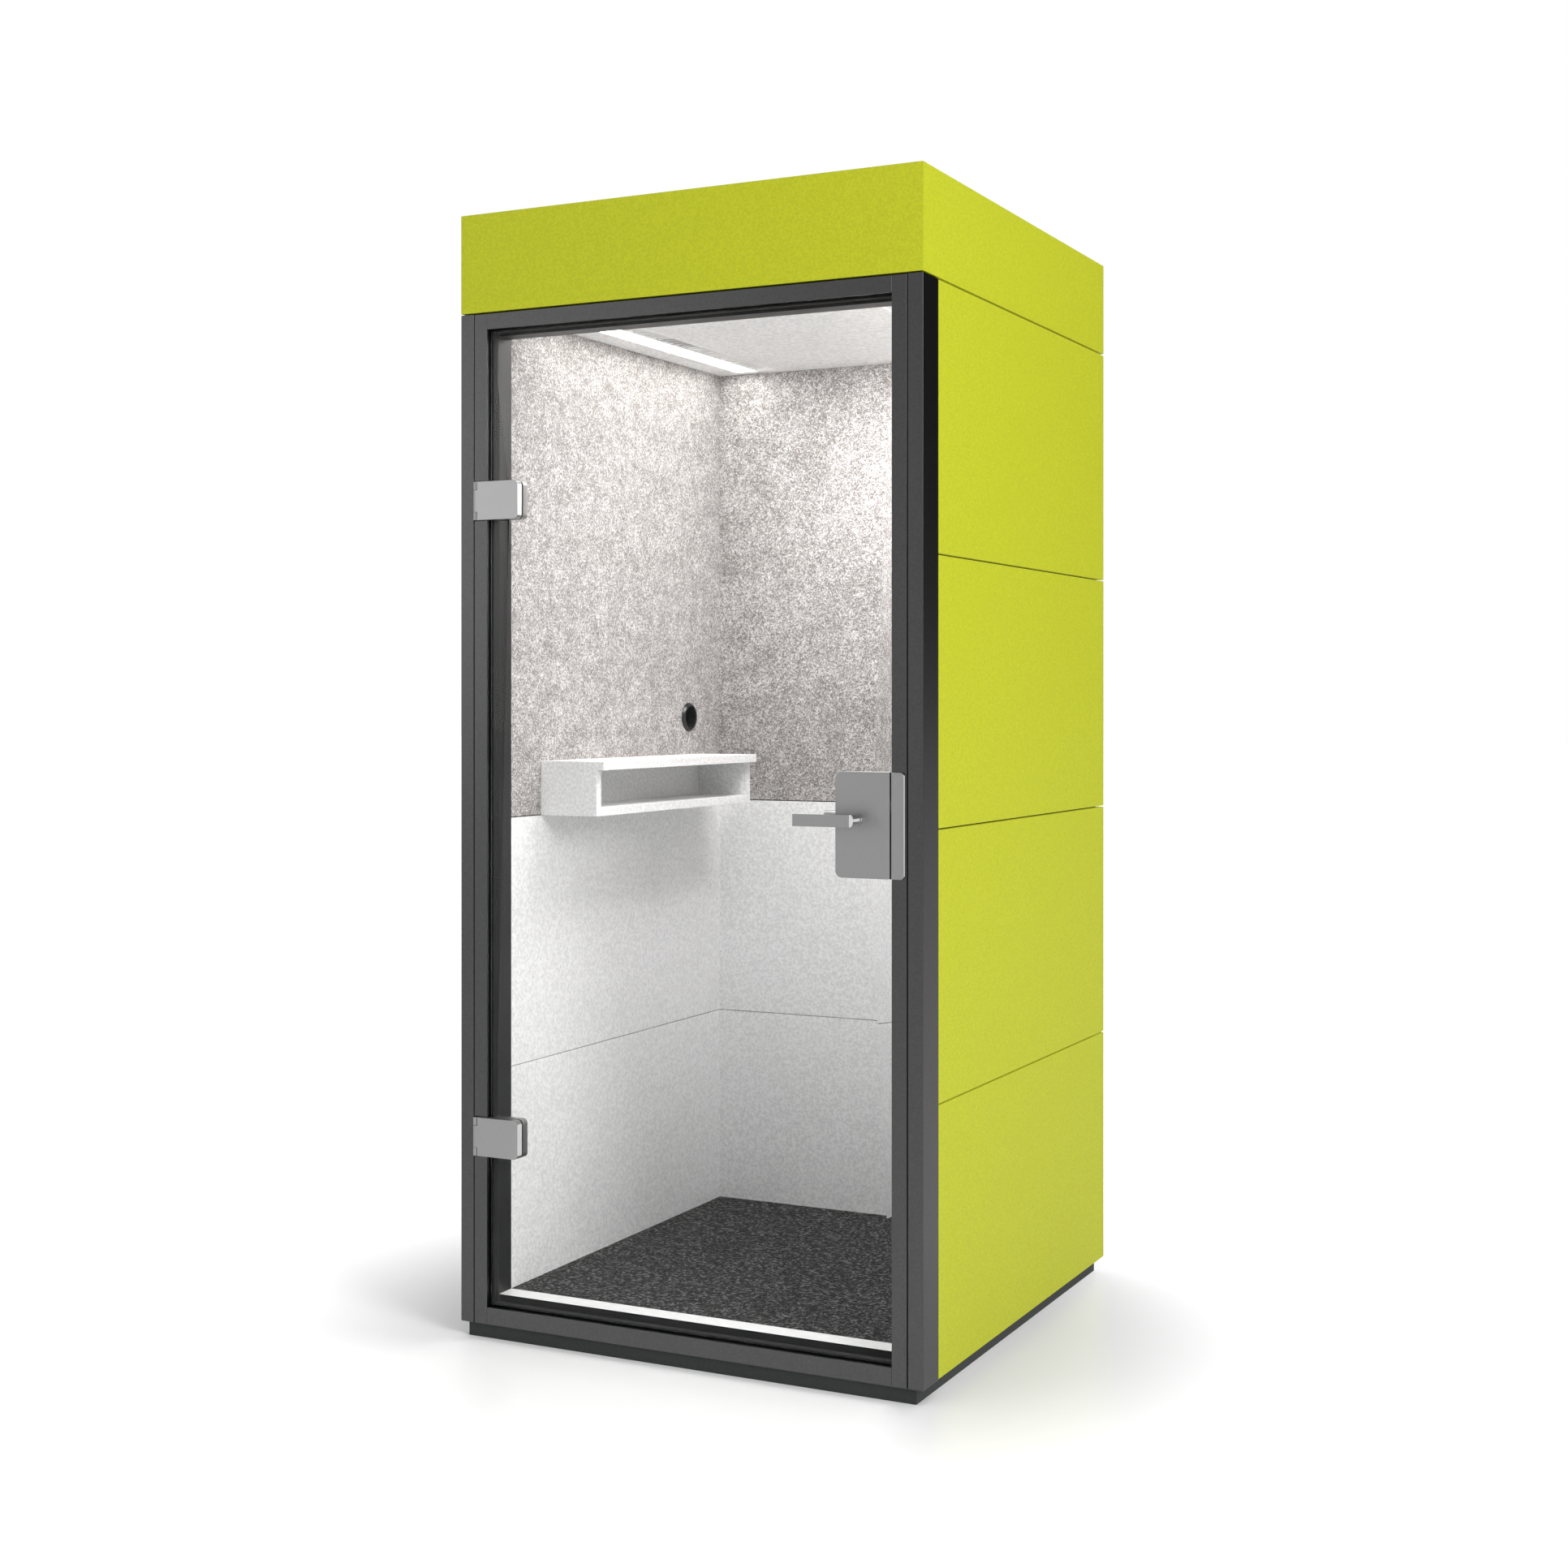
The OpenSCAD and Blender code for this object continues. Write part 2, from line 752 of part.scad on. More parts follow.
module lock_case_back() {
    inner = case_wall;
    back = glass_back + clamp_t;
    color("#8b8c8f") difference() {
        upright_plate(back, clamp_t)
            round_side([lock_x0, back_lock_x1], [lock_z0, lock_z1], lock_round, true);
        difference() {
            upright_plate(back - inner, clamp_t)
                round_side([lock_x0 + inner, back_lock_x1 - inner],
                           [lock_z0 + inner, lock_z1 - inner], lock_round - inner, true);
            for (z = lock_screw_z) bar_y(lock_screw_x, z, [glass_back, back], screw_r + 6);
        }
        bar_y(spindle_x, lever_z, [glass_back, back + 1], neck_r + 0.06);
        for (z = lock_screw_z) {
            bar_y(lock_screw_x, z, [glass_back - 1, back + 1], screw_r + 0.2);
            bar_y(lock_screw_x, z, [back - 6, back + 1], screw_r + 3.2);
        }
    }
}

module lock_screws() {
    head_y = glass_back + clamp_t - 6;
    color("#b4b5b7") for (z = lock_screw_z) {
        bar_y(lock_screw_x, z, [glass_y - 8.5, head_y], screw_r - 0.05);
        bar_y(lock_screw_x, z, [head_y, head_y + 5], screw_r + 3);
    }
}

module strike_plate() {
    color("#97989b") difference() {
        upright_plate(front_y, strike_t)
            round_side([strike_x0, strike_x1], [lock_z0, lock_z1], 7.5, false);
        bolt_pocket();
    }
}

// Lever with a flat front and a half-round back, its neck and rose turning in the lock case
module lever() {
    socket = spindle_w / 2 + 0.05;
    neck_end = plate_y + 3.5;
    color("#9a9b9e") difference() {
        union() {
            translate([lever_right - lever_l, 0, 0]) rotate([90, 0, 90]) linear_extrude(lever_l) {
                translate([lever_front, lever_z - lever_h / 2]) square([lever_h / 2, lever_h]);
                translate([lever_front + lever_h / 2, lever_z]) circle(lever_h / 2);
            }
            bar_y(spindle_x, lever_z, [lever_front + lever_h / 2, neck_end], neck_r);
            bar_y(spindle_x, lever_z, [plate_y - 3, plate_y - 0.2], rose_r);
        }
        block([spindle_x - socket, spindle_x + socket], [plate_y - 20, neck_end + 1],
              [lever_z - socket, lever_z + socket]);
    }
}

module lever_inside() {
    glass_mid = (glass_y + glass_back) / 2;
    translate([0, 2 * glass_mid, 0]) mirror([0, 1, 0]) lever();
}

// Square spindle with the follower whose arm draws the latch bolt back
module spindle() {
    glass_mid = (glass_y + glass_back) / 2;
    reach = glass_mid - plate_y + 19;
    half = spindle_w / 2;
    color("#a9aaac") {
        block([spindle_x - half, spindle_x + half], [glass_mid - reach, glass_mid + reach],
              [lever_z - half, lever_z + half]);
        bar_y(spindle_x, lever_z, [bolt_y0 - 1, bolt_y0 + bolt_t + 1], follower_r);
        block([spindle_x - 3, spindle_x + 3], [bolt_y0, bolt_y0 + bolt_t],
              [lever_z, lever_z + follower_arm]);
    }
}

module latch_bolt() {
    lug_x = [spindle_x - 12, spindle_x - 3.4];
    y = [bolt_y0, bolt_y0 + bolt_t];
    color("#b9babc") {
        block([lug_x[0], lock_x1 + bolt_nose], y, [bolt_z0, bolt_z0 + bolt_h]);
        block(lug_x, y, [lever_z + follower_r + 0.8, bolt_z0 + 1]);
    }
}

// ---- assembly ----

plinth();
levelling_feet();
floor_deck();
carpet();
threshold_strip();
corner_post(-1);  // corner_post_left
corner_post(1);  // corner_post_right
door_frame_left();
door_frame_right();
door_frame_head();
door_frame_sill();
jamb_liner();
door_seal();
wall_core_left();
wall_core_right();
wall_core_rear();
outer_panels_left();
outer_panels_right();
outer_panels_rear();
felt_left();
felt_right();
felt_rear();
white_lining_side(-1);  // white_lining_left
white_lining_side(1);  // white_lining_right
white_lining_rear();
roof_curb();
ceiling_deck();
ceiling_panel();
fascia(booth_w, rear_y);  // fascia_front
fascia_rear();
rotate([0, 0, -90]) fascia(booth_d, half_w);  // fascia_left
rotate([0, 0, 90]) fascia(booth_d, half_w);  // fascia_right
roof_lid();
light_diffusers();
light_trays();
vent_grilles();
fan_housings();
fan_impeller(-1);  // fan_impeller_left
fan_impeller(1);  // fan_impeller_right
led_driver();
power_inlet();
shelf_top();
shelf_bottom();
shelf_ends();
shelf_back();
cable_grommet();
hinge_frame_leaves();
hinge_pins();
strike_plate();
glass_door();
hinge_clamps_front();
hinge_clamps_back();
clamp_screws();
lock_case_front();
lock_case_back();
lock_screws();
lever();  // lever_outside
lever_inside();
spindle();
latch_bolt();
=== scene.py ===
import json
import math

import bmesh
import bpy
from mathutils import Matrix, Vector, noise


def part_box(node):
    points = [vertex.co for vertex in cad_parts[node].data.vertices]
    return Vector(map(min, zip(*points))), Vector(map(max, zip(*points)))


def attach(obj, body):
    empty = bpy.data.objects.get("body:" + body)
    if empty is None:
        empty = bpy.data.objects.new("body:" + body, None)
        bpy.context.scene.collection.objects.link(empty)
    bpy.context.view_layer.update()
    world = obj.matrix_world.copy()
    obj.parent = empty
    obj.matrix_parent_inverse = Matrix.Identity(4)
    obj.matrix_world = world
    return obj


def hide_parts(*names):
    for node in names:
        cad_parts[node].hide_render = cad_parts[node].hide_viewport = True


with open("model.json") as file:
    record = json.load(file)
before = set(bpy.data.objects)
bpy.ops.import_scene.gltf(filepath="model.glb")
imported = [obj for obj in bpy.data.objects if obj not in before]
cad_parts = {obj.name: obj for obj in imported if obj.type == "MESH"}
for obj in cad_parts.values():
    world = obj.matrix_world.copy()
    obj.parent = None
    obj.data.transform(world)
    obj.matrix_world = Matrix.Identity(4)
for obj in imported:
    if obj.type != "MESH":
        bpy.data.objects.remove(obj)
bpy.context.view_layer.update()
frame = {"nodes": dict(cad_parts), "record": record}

bl_info = {
    "name": "Acoustic phone booth",
    "version": (1, 0, 0),
    "blender": (4, 5, 0),
    "location": "3D View > Sidebar > Booth",
    "description": "Finishes the surfaces of a free-standing acoustic phone booth and lights it",
    "category": "Object",
}

RECORD = frame["record"]
BODY_OF = {n: body for body, nodes in RECORD["behaviour"]["bodies"].items() for n in nodes}
SLOT_OF = {part["node"]: part["material_slot"] for part in RECORD["subparts"]}
SIDES = ("left", "right")
WALLS = SIDES + ("rear",)


def linear(hex_colour):
    """A hex sRGB colour as linear RGBA."""
    values = [int(hex_colour[i:i + 2], 16) / 255 for i in (1, 3, 5)]
    return [v / 12.92 if v <= 0.04045 else ((v + 0.055) / 1.055) ** 2.4 for v in values] + [1.0]


# ---- settings ----


def length(name, description, default):
    return bpy.props.FloatProperty(
        name=name, description=description, default=default, min=0.0, unit="LENGTH", precision=5
    )


def paint(name, description, hex_colour):
    return bpy.props.FloatVectorProperty(
        name=name, description=description, default=linear(hex_colour)[:3], subtype="COLOR",
        min=0.0, max=1.0, size=3,
    )


def power(name, description, default):
    return bpy.props.FloatProperty(name=name, description=description, default=default, min=0.0)


class BoothColours(bpy.types.PropertyGroup):
    """Colours of the booth's finishes"""

    lime: paint("Lime", "Powder coat of the outer panels and the roof box", "#B9BF24")
    anthracite: paint("Anthracite", "Metallic coat of the posts and the door frame", "#565656")
    plinth: paint("Plinth", "Paint of the plinth", "#343736")
    felt_light: paint("Felt light", "Pale fibres of the felt", "#DEDCDB")
    felt_dark: paint("Felt dark", "Darker fibres of the felt", "#7F7875")
    white_board: paint("White board", "Melamine of the lower linings and the shelf", "#F8F8F8")
    ceiling: paint("Ceiling", "Textured ceiling board", "#FAFAFA")
    carpet: paint("Carpet", "Charcoal yarn of the carpet", "#1C1C1C")
    fleck: paint("Carpet fleck", "Light yarn of the carpet", "#787878")
    metal: paint("Satin metal", "Satin nickel of the hinges and the lock", "#A0A0A0")


class BoothSizes(bpy.types.PropertyGroup):
    """Edge radii and texture sizes of the booth"""

    panel_edge: length("Panel edge", "Fold radius of the steel cassettes", 0.0012)
    tube_edge: length("Tube edge", "Corner radius of the posts and the frame", 0.0010)
    board_edge: length("Board edge", "Edge-band radius of the boards", 0.0007)
    metal_edge: length("Hardware edge", "Broken edge of the hinges and the lock", 0.0009)
    glass_arris: length("Glass arris", "Ground arris of the glass pane", 0.0008)
    felt_edge: length("Felt edge", "Rounded cut edge of the felt", 0.0015)
    coat_grain: length("Coat grain", "Grain of the powder coat", 0.0045)
    felt_fibre: length("Felt fibre", "Clump of fibres in the felt", 0.0030)
    carpet_loop: length("Carpet loop", "Spacing of the carpet's loops", 0.0042)
    brush_line: length("Brush line", "Spacing of the brushing on the metal", 0.0005)
    lever_elbow: length("Lever elbow", "Radius where the lever turns into its neck", 0.0055)


class BoothLight(bpy.types.PropertyGroup):
    """Strength of the lamps"""

    lamp: power("Ceiling lights", "Emission of the opal diffusers", 13.0)
    key: power("Key", "Soft light on the right, in watts", 112.0)
    side: power("Side", "Large dim panel in front on the left, in watts", 29.0)
    cabin: power("Cabin", "Soft light under the cabin's ceiling, in watts", 13.0)
    top: power("Top", "Wide overhead light, like a lit ceiling", 1.8)
    room: power("Room", "Dim light from the studio's walls", 0.55)
    # the floor glow is painted light: emission that lifts the floor away from the booth
    glow: power("Floor glow", "How much the floor is lifted to merge with the backdrop", 0.5)


# ---- materials ----


def add_node(tree, kind, values=None, **settings):
    """Adds a node; a value that is a socket is linked, any other is set."""
    made = tree.nodes.new(kind)
    for key, value in settings.items():
        setattr(made, key, value)
    for key, value in (values or {}).items():
        if isinstance(value, bpy.types.NodeSocket):
            tree.links.new(value, made.inputs[key])
        else:
            made.inputs[key].default_value = value
    return made


def tint(colour, factor=1.0):
    """A linear colour made darker or lighter, as RGBA."""
    return [min(1.0, part * factor) for part in colour[:3]] + [1.0]


class Finish:
    """A material whose colour and relief follow one grain of a real size.

    low and high are the colours in the hollows and on the tops of the grain, grain is the
    size of its clumps and depth its relief, in metres; steps are where the two colours are
    reached; stretch draws the grain out along an axis, as brushing and wood do."""

    def __init__(self, name, low, high, grain, gloss, depth, steps=(0.3, 0.7),
                 stretch=(1.0, 1.0, 1.0), detail=3.0):
        self.material = bpy.data.materials.new(name)
        self.material.use_nodes = True
        self.tree = self.material.node_tree
        self.tree.nodes.clear()
        coords = self.add("ShaderNodeTexCoord").outputs["Object"]
        placed = self.add("ShaderNodeMapping", {"Vector": coords, "Scale": stretch})
        self.coords = placed.outputs["Vector"]
        self.grain = self.add("ShaderNodeTexNoise", {
            "Vector": self.coords, "Scale": 1 / grain, "Detail": detail, "Roughness": 0.6,
        }).outputs["Fac"]
        self.ramp = self.add("ShaderNodeValToRGB", {"Fac": self.grain})
        for stop, place, colour in zip(self.ramp.color_ramp.elements, steps, (low, high)):
            stop.position = place
            stop.color = colour
        self.bump = self.add("ShaderNodeBump", {"Height": self.grain, "Distance": depth})
        self.shader = self.add("ShaderNodeBsdfPrincipled", {
            "Base Color": self.ramp.outputs["Color"], "Roughness": gloss,
            "Normal": self.bump.outputs["Normal"],
        })
        self.output = self.add("ShaderNodeOutputMaterial",
                               {"Surface": self.shader.outputs["BSDF"]})

    def add(self, kind, values=None, **settings):
        return add_node(self.tree, kind, values, **settings)

    def follow(self, factor):
        """Makes the colour and the relief follow another pattern."""
        self.tree.links.new(factor, self.ramp.inputs["Fac"])
        self.tree.links.new(factor, self.bump.inputs["Height"])

    def set(self, **values):
        """Sets uniform values on the shader, by socket name with underscores for spaces."""
        for key, value in values.items():
            self.shader.inputs[key.replace("_", " ")].default_value = value
        return self.material


def powder_coat(name, colour, grain, gloss):
    """Baked polyester powder on steel: an even satin film with a fine orange peel."""
    return Finish(name, tint(colour, 0.93), tint(colour, 1.07), grain, gloss, 0.00005,
                  (0.38, 0.62)).set(Specular_IOR_Level=0.2)


def painted_glow_grille(name, grain):
    """White powder coat with a painted glow: a little emission stands in for the lamp's stray
    light on its blades.
    """
    coat = Finish(name, linear("#F4F4F3"), linear("#FFFFFF"), grain, 0.45, 0.00005, (0.38, 0.62))
    return coat.set(Specular_IOR_Level=0.2, Emission_Color=linear("#FFFFFF"),
                    Emission_Strength=0.1)


def metallic_coat(name, colour, grain, gloss):
    """Metallic powder on steel and aluminium: dark, with fine flakes that mirror the room."""
    return Finish(name, tint(colour, 0.92), tint(colour, 1.08), grain, gloss,
                  0.00003).set(Metallic=1.0)


def pressed_felt(name, light, dark, fibre):
    """Needled polyester felt: pale and grey-brown fibres that curl over each other.

    Each layer of fibres is a thin line where a noise crosses its middle; they are drawn
    about 1 mm wide, coarser than the real 0.05 mm, so that they show."""
    felt = Finish(name, tint(dark), tint(light), fibre, 0.95, 0.0004, (0.34, 0.66), detail=5.0)
    total = felt.grain
    for turn, size, weight in ((0.0, 2.2, -0.30), (1.1, 2.8, -0.26), (2.3, 1.9, 0.20)):
        lie = felt.add("ShaderNodeMapping", {"Vector": felt.coords,
                                             "Rotation": (turn, turn, turn)})
        curl = felt.add("ShaderNodeTexNoise", {
            "Vector": lie.outputs["Vector"], "Scale": 1 / (size * fibre), "Detail": 2.0,
            "Roughness": 0.7, "Distortion": 0.8,
        })
        on_line = felt.add("ShaderNodeMath", {0: curl.outputs["Fac"], 1: 0.5, 2: 0.045},
                           operation="COMPARE")
        layer = felt.add("ShaderNodeMath", {0: on_line.outputs[0], 1: weight, 2: total},
                         operation="MULTIPLY_ADD")
        total = layer.outputs[0]
    drift = felt.add("ShaderNodeTexNoise", {
        "Vector": felt.coords, "Scale": 1 / 0.045, "Detail": 3.0, "Roughness": 0.75,
    }).outputs["Fac"]
    drifted = felt.add("ShaderNodeMath", {0: drift, 1: 0.55, 2: total},
                       operation="MULTIPLY_ADD")
    centred = felt.add("ShaderNodeMath", {0: drifted.outputs[0], 1: 0.22}, operation="SUBTRACT")
    felt.follow(centred.outputs[0])
    return felt.set(Sheen_Weight=0.1, Sheen_Roughness=0.5, Specular_IOR_Level=0.2)


def loop_pile(name, yarn, fleck, loop):
    """Tufted nylon loops in charcoal, with a light fleck drawn coarse, so that it shows."""
    pile = Finish(name, tint(yarn), tint(fleck), loop * 1.5, 1.0, 0.0008, (0.50, 0.68),
                  detail=3.0)
    loops = pile.add("ShaderNodeTexVoronoi", {"Vector": pile.coords, "Scale": 1 / loop})
    pile.tree.links.new(loops.outputs["Distance"], pile.bump.inputs["Height"])
    return pile.set(Sheen_Weight=0.05, Specular_IOR_Level=0.1)


def melamine(name, colour, gloss):
    """Melamine-faced board: a hard satin white with a pearl texture, drawn coarse to show."""
    return Finish(name, tint(colour, 0.84), tint(colour, 1.06), 0.0060, gloss, 0.00004,
                  (0.38, 0.62), detail=4.0).material


def ceiling_paint(name, colour):
    """Rolled emulsion on board: matt, with a short stipple, drawn coarse to show."""
    return Finish(name, tint(colour, 0.82), tint(colour, 1.06), 0.0075, 0.9, 0.00015,
                  (0.38, 0.62), detail=4.0).material


def moulded(name, hex_colour, gloss, grain=0.0012):
    """Injection-moulded plastic or extruded rubber, with an eroded mould texture."""
    colour = linear(hex_colour)
    return Finish(name, tint(colour, 0.94), tint(colour, 1.06), grain, gloss, 0.00003).material


def satin_metal(name, colour, gloss, line):
    """Nickel-plated zinc, brushed upright: fine lines that stretch the highlight."""
    return Finish(name, tint(colour, 0.95), tint(colour, 1.04), line, gloss, 0.000006,
                  stretch=(1.0, 1.0, 0.03)).set(Metallic=1.0, Anisotropic=0.2)


def painted_highlight_metal(name, hex_colour):
    """Pale matt finish for painted highlights: the right-hand ends of the metal fittings, made
    light as if lit from the right.
    """
    colour = linear(hex_colour)
    return Finish(name, tint(colour, 0.94), tint(colour, 1.06), 0.0012, 0.45, 0.00003).material


def timber(name, hex_colour):
    """Birch plywood: straight pale grain along its length."""
    colour = linear(hex_colour)
    return Finish(name, tint(colour, 0.7), tint(colour), 0.004, 0.6, 0.0001,
                  stretch=(1.0, 0.06, 1.0), detail=5.0).material


def opal_acrylic(name, strength):
    """Opal acrylic: a satin white sheet, evenly lit from inside."""
    return Finish(name, linear("#F4F4F0"), linear("#FFFFFC"), 0.02, 0.35, 0.00001).set(
        Emission_Color=linear("#FFFFFC"), Emission_Strength=strength)


def clear_glass(name):
    """Toughened float glass with an anti-glare film: clear, with only a faint mirror gloss."""
    glass = Finish(name, linear("#FBFCFB"), linear("#FEFEFE"), 0.2, 0.0, 0.0)
    glass.set(Transmission_Weight=1.0, IOR=1.5, Specular_Tint=linear("#4A4A4A"))
    path = glass.add("ShaderNodeLightPath")
    passed = glass.add("ShaderNodeMath", {
        0: path.outputs["Is Shadow Ray"], 1: path.outputs["Is Diffuse Ray"],
    }, operation="MAXIMUM")
    clear = glass.add("ShaderNodeBsdfTransparent", {"Color": linear("#FBFBFB")})
    both = glass.add("ShaderNodeMixShader", {
        0: passed.outputs[0], 1: glass.shader.outputs[0], 2: clear.outputs[0],
    })
    glass.tree.links.new(both.outputs[0], glass.output.inputs["Surface"])
    return glass.material


def glass_edge(name):
    """The polished edge of float glass: deep green, almost black inside the dark rebate."""
    return Finish(name, linear("#0F1413"), linear("#1B2422"), 0.03, 0.1, 0.00001).material


def studio_floor(name, glow):
    """Seamless white vinyl with a painted glow, seen only by the camera, that lifts it away from
    the booth so that it merges with the backdrop.
    """
    vinyl = Finish(name, linear("#F5F5F5"), linear("#F7F7F7"), 0.8, 0.3, 0.0)
    away = vinyl.add("ShaderNodeVectorMath", {0: vinyl.coords, 1: LIFT_CENTRE},
                     operation="DISTANCE")
    lift = vinyl.add("ShaderNodeMapRange", {
        "Value": away.outputs["Value"], "From Min": LIFT_FROM, "From Max": LIFT_TO,
        "To Min": 0.0, "To Max": glow,
    }, interpolation_type="SMOOTHSTEP")
    # painted glow: emission seen only by the camera, growing away from the booth
    seen = vinyl.add("ShaderNodeLightPath").outputs["Is Camera Ray"]
    painted_floor_glow = vinyl.add("ShaderNodeMath", {0: seen, 1: lift.outputs["Result"]},
                      operation="MULTIPLY")
    vinyl.tree.links.new(painted_floor_glow.outputs[0], vinyl.shader.inputs["Emission Strength"])
    return vinyl.set(Emission_Color=linear("#FFFFFF"), Specular_IOR_Level=0.3)


def build_finishes(scene):
    """Every material of the booth, by the name of its slot in the record."""
    colours = scene.booth_colours
    sizes = scene.booth_sizes
    grain = sizes.coat_grain
    brushing = sizes.brush_line
    return {
        "lime": powder_coat("lime_powder_coat", colours.lime, grain, 0.5),
        "anthracite": metallic_coat("anthracite_metallic_coat", colours.anthracite, grain, 0.32),
        "plinth_paint": powder_coat("plinth_paint", colours.plinth, grain, 0.5),
        "foot": moulded("black_nylon", "#1E1E1F", 0.5),
        "plywood": timber("primed_birch_plywood", "#EAE7E0"),
        "carpet_tile": loop_pile("charcoal_loop_pile", colours.carpet, colours.fleck,
                                 sizes.carpet_loop),
        "threshold_gloss": moulded("white_gloss_pvc", "#FBFBFA", 0.15, 0.02),
        "liner": moulded("black_laminate", "#161617", 0.45, 0.003),
        "seal_rubber": moulded("black_epdm_rubber", "#090909", 0.8, 0.004),
        "acoustic_core": moulded("stained_fibreboard", "#161616", 0.9, 0.004),
        "felt": pressed_felt("grey_pressed_felt", colours.felt_light, colours.felt_dark,
                             sizes.felt_fibre),
        "white_board": melamine("white_melamine", colours.white_board, 0.45),
        "ceiling_board": ceiling_paint("ceiling_emulsion", colours.ceiling),
        "opal": opal_acrylic("opal_acrylic", scene.booth_light.lamp),
        "tray_aluminium": satin_metal("mill_aluminium", linear("#D5D6D8"), 0.4, brushing),
        # the vent grilles get a painted glow
        "vent_white": painted_glow_grille("vent_white_glowing_coat", grain),
        "black_plastic": moulded("black_abs", "#141415", 0.3),
        "driver_case": moulded("grey_polycarbonate", "#D9D9D6", 0.5),
        "shelf_board": melamine("shelf_melamine", colours.white_board, 0.4),
        "satin_steel": satin_metal("satin_nickel", colours.metal, 0.34, brushing),
        "bright_steel": satin_metal("bright_steel", linear("#C9CACC"), 0.22, brushing),
        "door_glass": clear_glass("clear_toughened_glass"),
    }


FINISH_NAMES = {}


def finish_of(slot):
    """The finished material of a slot."""
    return bpy.data.materials[FINISH_NAMES[slot]]


# ---- mesh tools ----


def add_piece(name, mesh, node, materials):
    """Puts a finished mesh in the scene in place of a CAD node, on that node's body."""
    piece = bpy.data.objects.new(name, mesh)
    bpy.context.scene.collection.objects.link(piece)
    for material in materials:
        mesh.materials.append(material)
    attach(piece, BODY_OF[node])
    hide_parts(node)
    return piece


def merged_copy(node):
    """A bmesh of a CAD node with its triangles merged into whole faces."""
    bm = bmesh.new()
    bm.from_mesh(frame["nodes"][node].data)
    bmesh.ops.remove_doubles(bm, verts=bm.verts, dist=1e-6)
    bmesh.ops.dissolve_limit(bm, angle_limit=math.radians(0.5), verts=bm.verts, edges=bm.edges)
    return bm


def round_edges(bm, radius, segments=3, sharper_than=30.0):
    """Rounds every edge that turns by more than the angle, in degrees."""
    edges = [e for e in bm.edges
             if e.is_manifold and e.calc_face_angle(0.0) > math.radians(sharper_than)]
    bmesh.ops.bevel(bm, geom=edges, offset=radius, offset_type="OFFSET", segments=segments,
                    profile=0.5, affect="EDGES", clamp_overlap=True, material=-1)


def mesh_from(bm, name):
    """A shaded mesh made from a bmesh."""
    mesh = bpy.data.meshes.new(name)
    bm.to_mesh(mesh)
    bm.free()
    mesh.shade_smooth()
    mesh.set_sharp_from_angle(angle=math.radians(40))
    return mesh


def keep_flats_flat(piece):
    """Weights the normals by face area, so that a rounded edge leaves the flat beside it flat."""
    weighted = piece.modifiers.new("flats", "WEIGHTED_NORMAL")
    weighted.weight = 100
    weighted.keep_sharp = True


def rounded_node(node, radius, segments=3, before=None):
    """A CAD node again, with its edges rounded as the real piece's are."""
    bm = merged_copy(node)
    if before:
        before(bm)
    round_edges(bm, radius, segments)
    piece = add_piece(node + "_finished", mesh_from(bm, node + "_finished"), node,
                      [finish_of(SLOT_OF[node])])
    keep_flats_flat(piece)
    return piece


def paint_right_end_highlights(piece):
    """Gives the right-hand end faces of a fitting a painted highlight: the pale matt finish, in
    place of the light they would catch from the right.
    """
    piece.data.materials.append(bpy.data.materials["zinc_painted_highlight"])
    for face in piece.data.polygons:
        face.material_index = 1 if face.normal.x > 0.95 else 0


def paint_node(node):
    """Gives a CAD node that stays its finished material."""
    data = frame["nodes"][node].data
    data.materials.clear()
    data.materials.append(finish_of(SLOT_OF[node]))


# ---- operators ----


class BOOTH_OT_finishes(bpy.types.Operator):
    """Builds the booth's materials from its colours and sizes"""

    bl_idname = "booth.finishes"
    bl_label = "Finishes"

    def execute(self, context):
        for slot, material in build_finishes(context.scene).items():
            FINISH_NAMES[slot] = material.name
        glass_edge("glass_edge")
        # pale finish for the painted highlights on the fittings' right-hand ends
        painted_highlight_metal("zinc_painted_highlight", "#CFCFCF")
        return {"FINISHED"}


class BOOTH_OT_base(bpy.types.Operator):
    """Plinth, levelling feet, floor deck and threshold"""

    bl_idname = "booth.base"
    bl_label = "Base"

    def execute(self, context):
        sizes = context.scene.booth_sizes
        rounded_node("plinth", sizes.board_edge)
        rounded_node("levelling_feet", sizes.board_edge)
        nosing = rounded_node("threshold_strip", sizes.board_edge * 2)
        nosing.data.materials.append(finish_of("seal_rubber"))
        for face in nosing.data.polygons:
            face.material_index = 1 if face.normal.y < -0.9 else 0
        paint_node("floor_deck")
        return {"FINISHED"}


class BOOTH_OT_carpet(bpy.types.Operator):
    """Carpet tile with a loop pile that has real relief"""

    bl_idname = "booth.carpet"
    bl_label = "Carpet"

    def execute(self, context):
        spacing = context.scene.booth_sizes.carpet_loop
        low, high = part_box("carpet")
        size = high - low
        centre = (low + high) / 2
        bm = bmesh.new()
        bmesh.ops.create_grid(bm, x_segments=round(size.x / spacing),
                              y_segments=round(size.y / spacing), size=0.5)
        bmesh.ops.scale(bm, vec=(size.x, size.y, 1.0), verts=bm.verts)
        bmesh.ops.translate(bm, vec=(centre.x, centre.y, high.z), verts=bm.verts)
        for vert in bm.verts:
            bump = noise.noise(vert.co / (spacing * 0.9)) + 0.5 * noise.noise(vert.co / 0.03)
            vert.co.z += 0.0007 * (bump - 1.5)
        rim = [e for e in bm.edges if e.is_boundary]
        skirt = bmesh.ops.extrude_edge_only(bm, edges=rim)["geom"]
        for vert in (g for g in skirt if isinstance(g, bmesh.types.BMVert)):
            vert.co.z = low.z
        bmesh.ops.holes_fill(bm, edges=[e for e in bm.edges if e.is_boundary], sides=0)
        bmesh.ops.recalc_face_normals(bm, faces=bm.faces)
        add_piece("carpet_pile", mesh_from(bm, "carpet_pile"), "carpet",
                  [finish_of("carpet_tile")])
        return {"FINISHED"}


